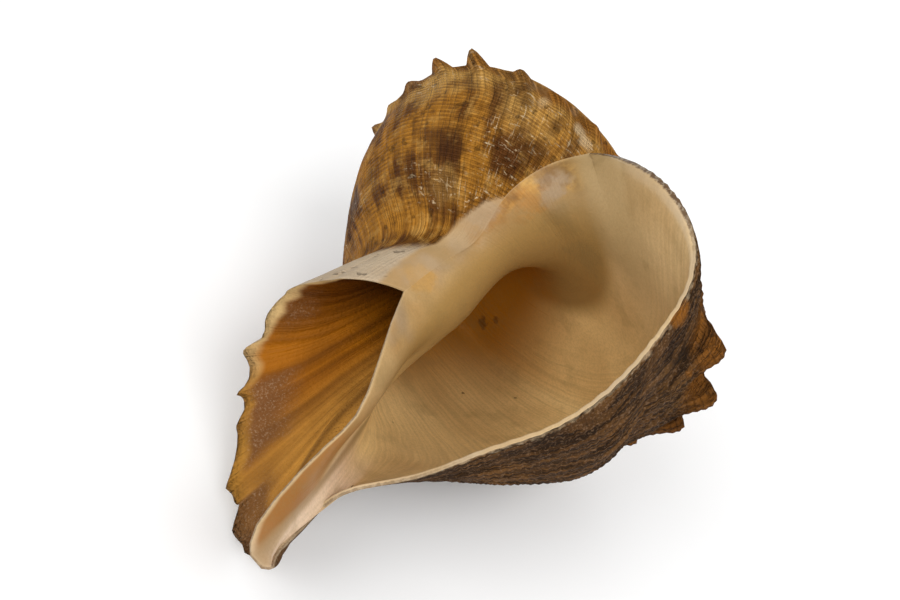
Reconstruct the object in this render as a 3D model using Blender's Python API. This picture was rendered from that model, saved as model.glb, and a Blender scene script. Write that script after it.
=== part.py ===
"""Rapa whelk shell: one closed solid, grown along a logarithmic spiral around its own axis.

The shell is described in growth coordinates. The turn is a growth angle in degrees: 0 at the
lip of the mouth and larger in older shell, which shrinks by WHORL_GROWTH with each full turn.
The row runs across one whorl: 0 at the suture, 2 on the shoulder, 6 at the base and 9 at the
end of the siphonal canal. On the funnel wall behind the inner lip the depth runs from 0 on the
crest to 1. Each point of a section is (radius, drop below the apex, degrees that it grows
ahead), in lengths of SHELL_UNIT.
"""

import math

import bmesh
import bpy
import numpy as np
from mathutils import Vector

SHELL_UNIT = 0.100
WHORL_GROWTH = 2.517
COVERED_TURN = 330.0          # each suture lies on row 3 of the whorl this much older
CREST_TURN = 297.0            # each funnel wall ends on the crest this much older
SETTLED_TURN = 90.0           # older shell than this keeps one section
SETTLED_FUNNEL_TURN = 50.0
NECK_TURN = 80.0              # the neck of the canal is drawn in between here and the lip
NECK_DEPTH = 0.022
NECK_ROWS = (6.0, 9.5)        # the outer wall is drawn in between these rows
NECK_EDGE_ROWS = 1.5
CREST_ROW = 7.0               # the outer wall follows the crest from here
CREST_REACH = 0.35            # depth to which the funnel wall follows it
FUNNEL_NECK = 1.3             # the funnel wall is drawn in this much more than the neck
CALLUS_SPREAD = 14.0          # degrees by which the callus spreads past the inner lip

COLUMNS = 80                  # from the lip back to the callus
SPIRE_COLUMNS = 276
FUNNEL_COLUMNS = 146
CAVITY_TURN = 340.0
CAVITY_COLUMNS = 34
CAVITY_CROWDING = 1.5         # the columns lie closer together towards the lip
SHOULDER_ROWS = [0.0, 0.6, 1.2, 1.65, 2.0, 2.4, 3.0]
SIDE_ROWS = [3.6, 4.2, 4.8, 5.4, 6.0, 6.5, 7.0, 7.5, 8.0, 8.5, 9.0]
FUNNEL_DEPTHS = [0.0, 0.12, 0.28, 0.46, 0.64, 0.82, 1.0]
APEX = (0, 0, -0.004)

LIP_THICKNESS = 0.009
WALL_THICKNESS = 0.026
INNER_LIP_THICKNESS = 0.007
COLUMELLA_THICKNESS = 0.012
CALLUS_THICKNESS = 0.007
CANAL_THICKNESS = 0.008
THICKENING_TURN = 40.0
WALL_SHARE = 0.20             # the most that a wall takes of the room between facing walls
THINNEST_WALL = 0.003
CANAL_CLOSING_TURN = 70.0     # the canal is solid shell this far behind the lip
CLOSED_CANAL_ROW = 7.2
CLOSED_CANAL_DEPTH = 0.40
FILLING_TURN = 12.0           # the corner by the suture is filled this far behind the lip
FILLED_RAMP_ROW = 2.0
FILLED_SIDE_ROW = 5.4
FILLET_BEND = 0.55
CANAL_POINTS = 3              # points of each wall in the rounded end of the canal
GLAZE_PASSES = 3              # the glaze of the mouth rounds off its corners
GLAZE_TURN = 14.0
GLAZE_SHARE = 0.5
GLAZE_GAP_MIDDLE = 18         # the thin inner lip, at this point of the ring, keeps its form
GLAZE_GAP_POINTS = 6

OLD_SIDE = (0.468, 0.422, 19.5)
OLD_CREST = (0.213, 1.161, -0.6)


def in_older_shell(point, turn):
    """The same point of the section, written for the shell that is turn degrees younger."""
    shrink = WHORL_GROWTH ** (-turn / 360)
    return (point[0] * shrink, point[1] * shrink, point[2] + 360 - turn)


SUTURE = in_older_shell(OLD_SIDE, COVERED_TURN)
FUNNEL_END = in_older_shell(OLD_CREST, CREST_TURN)
LIP_SECTION = np.array([
    SUTURE,
    (0.421, 0.280, 39.1),     # ramp
    (0.496, 0.353, 28.5),     # shoulder
    OLD_SIDE,
    (0.440, 0.525, 14.4),
    (0.371, 0.627, 8.9),
    (0.273, 0.713, 0.9),      # base
    (0.161, 0.804, -19.4),    # neck of the canal
    (0.170, 0.930, -2.7),
    (0.201, 1.023, 10.5),     # tip of the canal
])
OLD_SECTION = np.array([
    SUTURE,
    (0.415, 0.282, 39.1),
    (0.493, 0.357, 28.5),
    OLD_SIDE,
    (0.425, 0.525, 14.4),
    (0.352, 0.627, 8.9),
    (0.262, 0.715, 0.9),
    (0.168, 0.800, -10.0),
    (0.178, 0.930, -5.0),
    OLD_CREST,
])
INNER_LIP = np.array([
    LIP_SECTION[9],
    (0.154, 0.978, 17.8),
    (0.137, 0.820, 20.4),
    (0.145, 0.722, 29.5),
    FUNNEL_END,
])
OLD_FUNNEL = np.array([
    OLD_CREST,
    (0.138, 0.990, 8.0),
    (0.095, 0.840, 20.0),
    (0.082, 0.690, 40.0),
    FUNNEL_END,
])
# turn and the crest's section there, from the canal's tip round the funnel
CREST_PATH = np.array([
    (0, *LIP_SECTION[9]),
    (10, 0.173, 1.003, 7.5),
    (20, 0.164, 0.985, 4.0),
    (35, 0.156, 1.020, 3.0),
    (60, 0.168, 1.085, 1.0),
    (80, 0.208, 1.135, -0.6),
    (100, 0.206, 1.148, -0.6),
    (120, 0.190, 1.142, -0.6),
    (150, 0.196, 1.112, -0.6),
    (180, 0.230, 1.090, -0.6),
    (210, 0.228, 1.085, -0.6),
    (240, 0.210, 1.110, -0.6),
    (CREST_TURN, *OLD_CREST),
])

# turn and height of each shoulder spine that is larger or elsewhere than the regular ones
SPINES = [
    (21, 0.032), (37, 0.040), (54, 0.037),
    (211, 0.065), (223, 0.012), (239, 0.010), (258, 0.038),
    (276, 0.060), (296, 0.030), (313, 0.014), (332, 0.024),
]
REGULAR_SPINES = [(75, 200), (352, 1140)]
SPINE_SPACING = 20.6
SPINE_HEIGHT = 0.040
SPINE_HALF_WIDTH = 6.5
SPINE_ROWS = 0.42
FOLD_HEIGHT = 0.007           # a fold runs down from each spine
FOLD_ROW = 2.6
FOLD_ROWS = 0.9
KEEL_SAG = 0.010
KEEL_TURN = 14.0
WAIST_DEPTH = 0.020           # the whorl is drawn in behind the flaring lip
WAIST_TURNS = (14, 50, 85)    # where it is deep, starts to fade, and ends
WAIST_ROW = 1.8
WAIST_ROWS = 1.1
RIB_TURNS = (15, 60, 100)     # a low spiral rib above the base
RIB_ROWS = [3.1, 3.5, 3.8, 4.2, 4.45, 4.9, 5.4, 6.0]
RIB_HEIGHTS = [0, -0.008, -0.001, 0.010, 0.013, 0.009, 0.006, 0]

# turn and size of each lamella that an older canal end left standing on the crest
LAMELLAE = [
    (81, 0.4), (88, 0.8), (96, 1.2), (104, 0.8), (115, 1.5), (126, 0.4), (139, 0.45),
    (156, 0.95), (172, 1.0), (186, 0.5), (198, 0.8), (214, 0.9), (229, 0.6), (246, 0.5),
    (262, 0.4), (278, 0.3),
]
LAMELLA_OUTWARD = 0.022
LAMELLA_DOWNWARD = 0.026
LAMELLA_HALF_WIDTH = 5.5
LAMELLA_ROWS = 0.35
LAMELLA_DEPTH = 0.07

BACK = (-0.4, 0.9, 0.1)       # the side that lies on the ground, seen from the shell's axis


def ease(x):
    """Goes smoothly from 0 to 1 as x does."""
    x = np.clip(x, 0, 1)
    return x * x * (3 - 2 * x)


def curve_through(points, place):
    """The natural cubic spline through evenly spaced points, read at each place."""
    count = len(points)
    bends = np.zeros_like(points)
    system = np.eye(count)
    for i in range(1, count - 1):
        system[i, i - 1:i + 2] = (1, 4, 1)
        bends[i] = 6 * (points[i - 1] - 2 * points[i] + points[i + 1])
    bends = np.linalg.solve(system, bends)
    first = np.clip(np.floor(place).astype(int), 0, count - 2)
    after = (place - first)[..., None]
    before = 1 - after
    bend = (before ** 3 - before) * bends[first] + (after ** 3 - after) * bends[first + 1]
    return before * points[first] + after * points[first + 1] + bend / 6


def place_in_space(turn, section):
    radius, drop, ahead = np.moveaxis(section, -1, 0)
    size = WHORL_GROWTH ** (-turn / 360)
    angle = np.radians(turn - ahead)
    return size[..., None] * np.stack(
        [radius * np.cos(angle), radius * np.sin(angle), -drop], axis=-1)


def crest_section(turn):
    columns = [np.interp(turn, CREST_PATH[:, 0], CREST_PATH[:, i]) for i in (1, 2, 3)]
    return np.stack(columns, axis=-1)


def neck_depth(turn):
    return NECK_DEPTH * np.sin(math.pi * np.clip(turn / NECK_TURN, 0, 1)) ** 2


def spine_list():
    """Every spine from the lip to the apex: the named ones, and regular ones between them."""
    spines = list(SPINES)
    for start, end in REGULAR_SPINES:
        spines += [(turn, SPINE_HEIGHT) for turn in np.arange(start, end, SPINE_SPACING)]
    return spines


def nearness(turn, tip, column, half_width):
    """1 on the column of points that is nearest to the tip, and 0 half a width away from it."""
    return np.clip(1 - abs(turn - round(tip / column) * column) / half_width, 0, 1)


def shoulder_relief(turn, row):
    """Outward height of the spines on the shoulder and of the folds that run down from them."""
    height = np.zeros(np.broadcast(turn, row).shape)
    on_spine = np.zeros_like(height)
    across = np.exp(-((row - 2) / SPINE_ROWS) ** 2)
    along_fold = np.exp(-((row - FOLD_ROW) / FOLD_ROWS) ** 2) * ease(2 - abs(row - FOLD_ROW))
    for spine_turn, spine_height in spine_list():
        near = nearness(turn, spine_turn, COVERED_TURN / COLUMNS, SPINE_HALF_WIDTH)
        height += ease(near) * (across * spine_height + along_fold * FOLD_HEIGHT)
        on_spine = np.maximum(on_spine, near)
    return height - KEEL_SAG * across * (1 - on_spine) * ease(turn / KEEL_TURN)


def within(turn, turns):
    """Rises over the first turns, holds, then fades out."""
    deep, fading, end = turns
    return ease(turn / deep) * (1 - ease((turn - fading) / (end - fading)))


def whorl_relief(turn, row):
    """The waist behind the lip and the low rib, which the mouth's inner surface follows too."""
    waist = np.exp(-((row - WAIST_ROW) / WAIST_ROWS) ** 2) * within(turn, WAIST_TURNS)
    rib = np.interp(row, RIB_ROWS, RIB_HEIGHTS) * within(turn, RIB_TURNS)
    return rib - WAIST_DEPTH * waist


def lamella_size(turn, beside):
    """Size of the lamellae at a turn of the crest; beside is 0 on the crest and grows from it."""
    size = np.zeros(np.broadcast(turn, beside).shape)
    for tip, tall in LAMELLAE:
        near = nearness(turn, tip, CREST_TURN / COLUMNS, LAMELLA_HALF_WIDTH)
        size = np.maximum(size, near * tall)
    return size * np.exp(-beside ** 2)


def outer_point(turn, row, relief=1.0):
    """Points of the outer surface, which ends on the crest of the canal ends at row 9."""
    turn, row = np.broadcast_arrays(np.asarray(turn, float), np.asarray(row, float))
    settled = ease(turn / SETTLED_TURN)[..., None]
    section = (1 - settled) * curve_through(LIP_SECTION, row)
    section += settled * curve_through(OLD_SECTION, row)
    end = (1 - settled) * LIP_SECTION[9] + settled * OLD_SECTION[9]
    near_crest = np.clip((row - CREST_ROW) / (9 - CREST_ROW), 0, 1)[..., None] ** 2
    section = section + near_crest * (crest_section(turn) - end)
    lamella = lamella_size(turn, (9 - row) / LAMELLA_ROWS) * relief
    section[..., 0] += whorl_relief(turn, row) + shoulder_relief(turn, row) * relief
    section[..., 0] += lamella * LAMELLA_OUTWARD
    section[..., 1] += lamella * LAMELLA_DOWNWARD
    drawn_in = ease((row - NECK_ROWS[0]) / NECK_EDGE_ROWS)
    drawn_in = drawn_in * ease((NECK_ROWS[1] - row) / NECK_EDGE_ROWS)
    section[..., 0] -= neck_depth(turn) * drawn_in
    return place_in_space(turn, section)


def funnel_point(turn, depth):
    """Points of the funnel wall: the inner lip's back at turn 0, then what older lips left."""
    turn, depth = np.broadcast_arrays(np.asarray(turn, float), np.asarray(depth, float))
    settled = ease(turn / SETTLED_FUNNEL_TURN)[..., None]
    last = len(INNER_LIP) - 1
    section = (1 - settled) * curve_through(INNER_LIP, depth * last)
    section += settled * curve_through(OLD_FUNNEL, depth * last)
    start = (1 - settled) * INNER_LIP[0] + settled * OLD_FUNNEL[0]
    near_crest = np.clip(1 - depth / CREST_REACH, 0, 1)[..., None] ** 2
    section = section + near_crest * (crest_section(turn) - start)
    lamella = lamella_size(turn, depth / LAMELLA_DEPTH)
    section[..., 0] += lamella * LAMELLA_OUTWARD
    section[..., 1] += lamella * LAMELLA_DOWNWARD
    drawn_in = ease(5 * depth + CREST_REACH) * ease(2 - 2 * depth)
    section[..., 0] -= neck_depth(turn) * drawn_in * FUNNEL_NECK
    return place_in_space(turn, section)


def callus_turn(row):
    """Turn at which the callus starts, on each row of the covered whorl from 3 to 9."""
    across = (np.asarray(row, float) - 3) / 6
    spread = CALLUS_SPREAD * np.sin(math.pi * across)
    return COVERED_TURN - (COVERED_TURN - CREST_TURN) * across - spread


def mouth_loop(turn):
    """The mouth's outline at each turn, and for each of its points which wall it lies on."""
    turn = np.asarray(turn, float)[:, None]
    closed = ease(turn / CANAL_CLOSING_TURN)
    rows = np.array(SHOULDER_ROWS + SIDE_ROWS)
    depths = np.array(FUNNEL_DEPTHS[1:])
    covered = np.array(SIDE_ROWS[-2::-1])
    last_row = 9 - (9 - CLOSED_CANAL_ROW) * closed
    first_depth = CLOSED_CANAL_DEPTH * closed
    outer = outer_point(turn, rows * last_row / 9, relief=0.0)
    inner = funnel_point(turn, first_depth + (1 - first_depth) * depths)
    callus = outer_point(turn + callus_turn(covered), covered, relief=0.0)
    wall = np.repeat([0, 1, 2], [len(rows), len(depths), len(covered)])
    loop = np.concatenate([outer, inner, callus], axis=1)
    return fill_mouth_corners(loop, turn, wall, covered), wall


def round_corner(loop, corner, bend, rounded):
    """Moves the points of a corner onto a parabola between its ends, as far as it is rounded."""
    across = np.linspace(0, 1, len(corner))[None, :, None]
    start, end = loop[:, corner[:1]], loop[:, corner[-1:]]
    bend = bend * FILLET_BEND + (start + end) * (0.5 - FILLET_BEND / 2)
    parabola = (1 - across) ** 2 * start + 2 * across * (1 - across) * bend + across ** 2 * end
    loop[:, corner] = (1 - rounded) * loop[:, corner] + rounded * parabola


def fill_mouth_corners(loop, turn, wall, covered):
    """Behind the lip the corner by the suture is filled with shell, and so is the canal."""
    ramp = np.flatnonzero(np.array(SHOULDER_ROWS) <= FILLED_RAMP_ROW)
    side = np.flatnonzero(wall == 2)[covered <= FILLED_SIDE_ROW]
    filled = ease(turn / FILLING_TURN)[..., None]
    round_corner(loop, np.concatenate([side, ramp]), loop[:, :1], filled)
    first_inner = np.flatnonzero(wall == 1)[0]
    canal = first_inner + np.arange(-CANAL_POINTS, CANAL_POINTS)
    canal_end = (loop[:, first_inner - 1:first_inner] + loop[:, first_inner:first_inner + 1]) / 2
    round_corner(loop, canal, canal_end, ease(turn / CANAL_CLOSING_TURN)[..., None])
    return loop


def wall_offset(turn, loop, wall):
    """How far the mouth's inner surface stands in from the outline, less where it is narrow."""
    grown = ease(turn / THICKENING_TURN)[:, None]
    size = WHORL_GROWTH ** (-turn / 360)[:, None]
    at_lip = np.array([LIP_THICKNESS, INNER_LIP_THICKNESS, 0])[wall]
    inside = np.array([WALL_THICKNESS, COLUMELLA_THICKNESS, CALLUS_THICKNESS])[wall]
    inside[np.flatnonzero(wall == 0)[-2 * CANAL_POINTS:]] = CANAL_THICKNESS
    offset = (at_lip + (inside - at_lip) * grown) * size
    lip_side = loop[:, wall == 0][:, :, None]
    columella_side = loop[:, wall > 0][:, None]
    apart = np.linalg.norm(lip_side - columella_side, axis=-1)
    room = np.concatenate([apart.min(axis=2), apart.min(axis=1)], axis=1)
    return np.minimum(offset, WALL_SHARE * room + THINNEST_WALL * size)


def cavity_rings(turns):
    """The inner surface of the mouth as one ring of points for each turn."""
    loop, wall = mouth_loop(turns)
    older, _ = mouth_loop(turns + 1)
    along = np.roll(loop, -1, axis=1) - np.roll(loop, 1, axis=1)
    inward = np.cross(older - loop, along)
    inward /= np.linalg.norm(inward, axis=-1, keepdims=True)
    return glazed(loop + inward * wall_offset(turns, loop, wall)[..., None], turns)


def glazed(rings, turns):
    """The rings behind the lip with their corners rounded off."""
    gap = np.exp(-((np.arange(rings.shape[1]) - GLAZE_GAP_MIDDLE) / GLAZE_GAP_POINTS) ** 2)
    share = GLAZE_SHARE * ease(turns / GLAZE_TURN)[:, None] * (1 - gap)
    for _ in range(GLAZE_PASSES):
        beside = (np.roll(rings, 1, axis=1) + np.roll(rings, -1, axis=1)) / 2
        rings = rings + share[..., None] * (beside - rings)
    return rings


class Surface:
    """Collects the points and faces of the closed mesh, and shares points along its seams."""

    def __init__(self):
        self.points = []
        self.faces = []

    def add(self, points):
        first = len(self.points)
        self.points += [tuple(point) for point in points]
        return list(range(first, len(self.points)))

    def join(self, left, right):
        """Faces between two lists of points, where some neighbours may be the same point."""
        for i in range(len(left) - 1):
            corners = [left[i], left[i + 1], right[i + 1], right[i]]
            face = [c for n, c in enumerate(corners) if c != corners[n - 1]]
            if len(face) > 2:
                self.faces.append(face)

    def close(self, edge, tip):
        point = self.add([tip])[0]
        for i in range(len(edge)):
            self.faces.append([edge[i], edge[(i + 1) % len(edge)], point])


def build_outer(surface):
    """Shoulder and spire as one spiral strip, sides down to the canal as a second one."""
    step = COVERED_TURN / COLUMNS
    shoulder = [None] * (SPIRE_COLUMNS + 1)
    for i in range(SPIRE_COLUMNS, -1, -1):
        points = outer_point(i * step, np.array(SHOULDER_ROWS))
        if i + COLUMNS <= SPIRE_COLUMNS:
            shoulder[i] = [shoulder[i + COLUMNS][-1]] + surface.add(points[1:])
        else:
            shoulder[i] = surface.add(points)
    for i in range(SPIRE_COLUMNS):
        surface.join(shoulder[i], shoulder[i + 1])
    open_edge = [shoulder[i][0] for i in range(SPIRE_COLUMNS - COLUMNS, SPIRE_COLUMNS)]
    surface.close(open_edge + shoulder[-1][:-1], APEX)

    rows = np.array(SIDE_ROWS)
    side = []
    for i in range(COLUMNS + 1):
        points = outer_point(callus_turn(rows) * i / COLUMNS, rows)
        side.append([shoulder[i][-1]] + surface.add(points))
    for i in range(COLUMNS):
        surface.join(side[i], side[i + 1])
    lip = shoulder[0] + side[0][1:]
    return lip, [column[-1] for column in side], side[-1]


def build_funnel(surface, crest):
    step = CREST_TURN / COLUMNS
    depths = np.array(FUNNEL_DEPTHS)
    crest = list(crest)
    columns = []
    for i in range(FUNNEL_COLUMNS + 1):
        inner = surface.add(funnel_point(i * step, depths[1:-1]))
        if i == 0:
            end = crest[COLUMNS]
        else:
            end = surface.add([outer_point(i * step + CREST_TURN, 9.0)])[0]
            crest.append(end)
        columns.append([crest[i]] + inner + [end])
    for i in range(FUNNEL_COLUMNS):
        surface.join(columns[i], columns[i + 1])
    open_edge = [columns[i][-1] for i in range(FUNNEL_COLUMNS, FUNNEL_COLUMNS - COLUMNS, -1)]
    edge = open_edge + [columns[-1][0]] + columns[-1][1:-1]
    middle = np.mean([surface.points[i] for i in edge], axis=0)
    surface.close(edge, middle)
    return columns[0]


def build_cavity(surface, lip, inner_lip, callus_edge):
    """The rim of the mouth, and the mouth's inner surface back to where it is closed."""
    turns = CAVITY_TURN * (np.arange(CAVITY_COLUMNS + 1) / CAVITY_COLUMNS) ** CAVITY_CROWDING
    rings = cavity_rings(turns)
    free = len(lip) + len(inner_lip) - 2
    rim = lip + inner_lip[1:]
    covered = callus_edge[-2:0:-1]
    inner = [rim[0]] + surface.add(rings[0, 1:free]) + [rim[-1]]
    surface.join(inner, rim)
    previous = inner + covered
    for ring in rings[1:]:
        current = surface.add(ring)
        surface.join(current + current[:1], previous + previous[:1])
        previous = current
    middle = rings[-1].mean(axis=0)
    surface.close(previous[::-1], middle)


def centre_of_mass(mesh):
    total = 0.0
    centre = Vector()
    for face in mesh.faces:
        a, b, c = [corner.vert.co for corner in face.loops]
        volume = a.dot(b.cross(c))
        total += volume
        centre += (a + b + c) / 4 * volume
    return centre / total


def resting_turn(mesh, down_hint):
    """The rotation that lays the shell on the part of its convex hull that holds it up."""
    centre = centre_of_mass(mesh)
    hull = mesh.copy()
    parts = bmesh.ops.convex_hull(hull, input=hull.verts)["geom"]
    down = None
    for face in [part for part in parts if isinstance(part, bmesh.types.BMFace)]:
        a, b, c = [corner.vert.co for corner in face.loops]
        normal = (b - a).cross(c - a).normalized()
        if normal.dot(a - centre) < 0:
            normal = -normal
        foot = centre + normal * normal.dot(a - centre)
        sides = [(q - p).cross(foot - p).dot(normal) for p, q in ((a, b), (b, c), (c, a))]
        held = min(sides) > 0 or max(sides) < 0
        if held and (down is None or normal.dot(down_hint) > down.dot(down_hint)):
            down = normal
    hull.free()
    return down.rotation_difference(Vector((0, 0, -1))).to_matrix().to_4x4()


def build_shell():
    surface = Surface()
    lip, crest, callus_edge = build_outer(surface)
    inner_lip = build_funnel(surface, crest)
    build_cavity(surface, lip, inner_lip, callus_edge)
    mesh = bmesh.new()
    points = [mesh.verts.new(point) for point in surface.points]
    for face in surface.faces:
        mesh.faces.new([points[i] for i in face])
    bmesh.ops.triangulate(mesh, faces=mesh.faces)
    bmesh.ops.scale(mesh, vec=(SHELL_UNIT,) * 3, verts=mesh.verts)
    bmesh.ops.rotate(mesh, matrix=resting_turn(mesh, Vector(BACK)), verts=mesh.verts)
    return mesh


def stand_on_origin(mesh):
    low = [min(v.co[axis] for v in mesh.verts) for axis in range(3)]
    high = [max(v.co[axis] for v in mesh.verts) for axis in range(3)]
    middle = Vector(((low[0] + high[0]) / 2, (low[1] + high[1]) / 2, low[2]))
    bmesh.ops.translate(mesh, vec=-middle, verts=mesh.verts)


def shell_material():
    material = bpy.data.materials.new("shell")
    material.use_nodes = True
    shader = material.node_tree.nodes["Principled BSDF"]
    shader.inputs["Base Color"].default_value = (0.36, 0.21, 0.09, 1)
    shader.inputs["Roughness"].default_value = 0.6
    return material


def main():
    for item in list(bpy.data.objects):
        bpy.data.objects.remove(item)
    shape = build_shell()
    stand_on_origin(shape)
    mesh = bpy.data.meshes.new("shell")
    shape.to_mesh(mesh)
    shape.free()
    mesh.materials.append(shell_material())
    mesh.shade_smooth()
    bpy.context.collection.objects.link(bpy.data.objects.new("shell", mesh))


main()
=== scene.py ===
# Rapa whelk shell, Rapana venosa, lying on its back with the mouth turned up

import math

import bpy
import numpy as np
from mathutils import Euler, Matrix, Vector


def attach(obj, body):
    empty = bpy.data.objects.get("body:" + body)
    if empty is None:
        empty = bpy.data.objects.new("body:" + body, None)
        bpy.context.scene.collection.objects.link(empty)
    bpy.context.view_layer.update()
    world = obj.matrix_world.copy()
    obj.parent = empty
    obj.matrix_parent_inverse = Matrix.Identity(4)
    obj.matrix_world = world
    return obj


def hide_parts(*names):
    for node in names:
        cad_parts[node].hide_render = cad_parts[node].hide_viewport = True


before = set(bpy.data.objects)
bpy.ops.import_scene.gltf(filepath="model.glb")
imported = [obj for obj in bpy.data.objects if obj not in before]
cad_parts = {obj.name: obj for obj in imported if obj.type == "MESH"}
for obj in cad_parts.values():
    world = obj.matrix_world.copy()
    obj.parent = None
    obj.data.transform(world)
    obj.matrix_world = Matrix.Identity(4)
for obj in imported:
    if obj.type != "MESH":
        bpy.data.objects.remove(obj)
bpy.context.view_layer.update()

print("frame loaded")


# A point of the shell has a turn in degrees, 0 at the lip and larger towards the spire, and a
# row: 0 suture, 2 shoulder, 6 base, 9 crest, 10 end of the funnel, 10 to 16 back over the callus.
# A section tells radius, drop below the spire's tip and degrees ahead, for a whorl of size 1.
growthRule = {
    "unit": 0.100,  # metres at the lip
    "whorlGrowth": 2.517,  # times larger with each full turn
    "coveredTurn": 330.0,  # a suture lies on row 3 of the whorl this much older
    "crestTurn": 297.0,  # a funnel wall ends on the crest this much older
    "settledTurn": 90.0,  # older shell than this keeps one section
    "settledFunnelTurn": 50.0,
    "crestStart": 7.0,  # from this row on the section follows the crest's path
    "crestRows": 2.0,
    "crestDepth": 0.35,
    "callusSpread": 14.0,
    "turned": (-72.55247, -16.49907, 12.14790),  # how the coiled shell lies on its back
    "moved": (-0.0148333, 0.0456398, 0.0435508),
}


def sizeAt(turn):
    return growthRule["whorlGrowth"] ** (-turn / 360)


def olderShell(point, turn):  # the same point, told for shell that is turn degrees younger
    shrink = sizeAt(turn)
    return (point[0] * shrink, point[1] * shrink, point[2] + 360 - turn)


oldSide = (0.468, 0.422, 19.5)
oldCrest = (0.213, 1.161, -0.6)
suture = olderShell(oldSide, growthRule["coveredTurn"])
funnelEnd = olderShell(oldCrest, growthRule["crestTurn"])
lipSection = np.array([
    suture, (0.421, 0.280, 39.1), (0.496, 0.353, 28.5), oldSide, (0.440, 0.525, 14.4),
    (0.371, 0.627, 8.9), (0.273, 0.713, 0.9), (0.161, 0.804, -19.4), (0.170, 0.930, -2.7),
    (0.201, 1.023, 10.5)])
oldSection = np.array([
    suture, (0.415, 0.282, 39.1), (0.493, 0.357, 28.5), oldSide, (0.425, 0.525, 14.4),
    (0.352, 0.627, 8.9), (0.262, 0.715, 0.9), (0.168, 0.800, -10.0), (0.178, 0.930, -5.0),
    oldCrest])
innerLip = np.array([
    lipSection[9], (0.154, 0.978, 17.8), (0.137, 0.820, 20.4), (0.145, 0.722, 29.5), funnelEnd])
oldFunnel = np.array([
    oldCrest, (0.138, 0.990, 8.0), (0.095, 0.840, 20.0), (0.082, 0.690, 40.0), funnelEnd])
crestPath = np.array([
    (0, *lipSection[9]), (10, 0.173, 1.003, 7.5), (20, 0.164, 0.985, 4.0),
    (35, 0.156, 1.020, 3.0), (60, 0.168, 1.085, 1.0), (80, 0.208, 1.135, -0.6),
    (100, 0.206, 1.148, -0.6), (120, 0.190, 1.142, -0.6), (150, 0.196, 1.112, -0.6),
    (180, 0.230, 1.090, -0.6), (210, 0.228, 1.085, -0.6), (240, 0.210, 1.110, -0.6),
    (growthRule["crestTurn"], *oldCrest)])


def ease(x):
    x = np.clip(x, 0, 1)
    return x * x * (3 - 2 * x)


def within(turn, turns):  # rises over the first turns, holds, then fades over the last
    return ease(turn / turns[0]) * (1 - ease((turn - turns[1]) / turns[2]))


def bell(row, middle, reach):
    return np.exp(-((row - middle) / reach) ** 2)


def curveThrough(points, place):  # natural cubic spline through evenly spaced points
    count = len(points)
    bends = np.zeros_like(points)
    system = np.eye(count)
    for i in range(1, count - 1):
        system[i, i - 1:i + 2] = (1, 4, 1)
        bends[i] = 6 * (points[i - 1] - 2 * points[i] + points[i + 1])
    bends = np.linalg.solve(system, bends)
    first = np.clip(np.floor(place).astype(int), 0, count - 2)
    after = (place - first)[..., None]
    before = 1 - after
    bend = (before ** 3 - before) * bends[first] + (after ** 3 - after) * bends[first + 1]
    return before * points[first] + after * points[first + 1] + bend / 6


def placeInSpace(turn, section):
    radius, drop, ahead = np.moveaxis(section, -1, 0)
    size = sizeAt(turn)
    angle = np.radians(turn - ahead)
    return size[..., None] * np.stack(
        [radius * np.cos(angle), radius * np.sin(angle), -drop], axis=-1)


def sectionOf(turn, points):  # the other way round, for points made in space
    size = sizeAt(turn)
    radius = np.hypot(points[..., 0], points[..., 1]) / size
    angle = np.degrees(np.arctan2(points[..., 1], points[..., 0]))
    ahead = (turn - angle + 180) % 360 - 180
    return np.stack([radius, -points[..., 2] / size, ahead], axis=-1)


def crestSection(turn):
    return np.stack([np.interp(turn, crestPath[:, 0], crestPath[:, i]) for i in (1, 2, 3)], -1)


# the canal is drawn in behind its end, on the outer wall and in the funnel
neck = {
    "depth": 0.022,
    "turns": 80.0,
    "rows": (6.0, 9.5),
    "fade": 1.5,
    "funnelStart": 0.34,
    "funnelRise": 0.2,
    "funnelFade": 0.5,
    "funnelShare": 1.3,
}


def neckDepth(turn):
    across = np.clip(turn / neck["turns"], 0, 1)
    return neck["depth"] * np.sin(math.pi * across) ** 2


shoulder = {
    # turn and height of each spine that is larger or elsewhere than the regular ones
    "spines": [(22, 0.037), (37.5, 0.044), (54, 0.037), (211, 0.050), (223, 0.012), (239, 0.010),
               (258, 0.038), (276, 0.060), (296, 0.030), (313, 0.014), (332, 0.024)],
    "regular": [(75, 200), (352, 1140)],  # from turn to turn
    "spacing": 20.6,
    "height": 0.040,
    "halfWidth": 6.5,
    "lipHalfWidth": 5.5,
    "lipTurn": 60.0,
    "bluntness": 1.1,
    "row": 2.0,
    "rows": (0.15, 0.42),  # reach of a spine up the ramp and down the side
    "foldHeight": 0.007,
    "foldRow": 2.6,
    "foldRows": 0.9,
    "foldReach": 3.2,
    "foldFade": 1.5,
    "keelSag": 0.010,  # between two spines
    "sagEnd": 1.3,
    "sagTurns": 70.0,
    "waist": 0.020,  # the shell is drawn in behind the flaring lip
    "waistTurns": (14, 50, 35),
    "waistRow": 1.8,
    "waistRows": 1.1,
}


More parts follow.
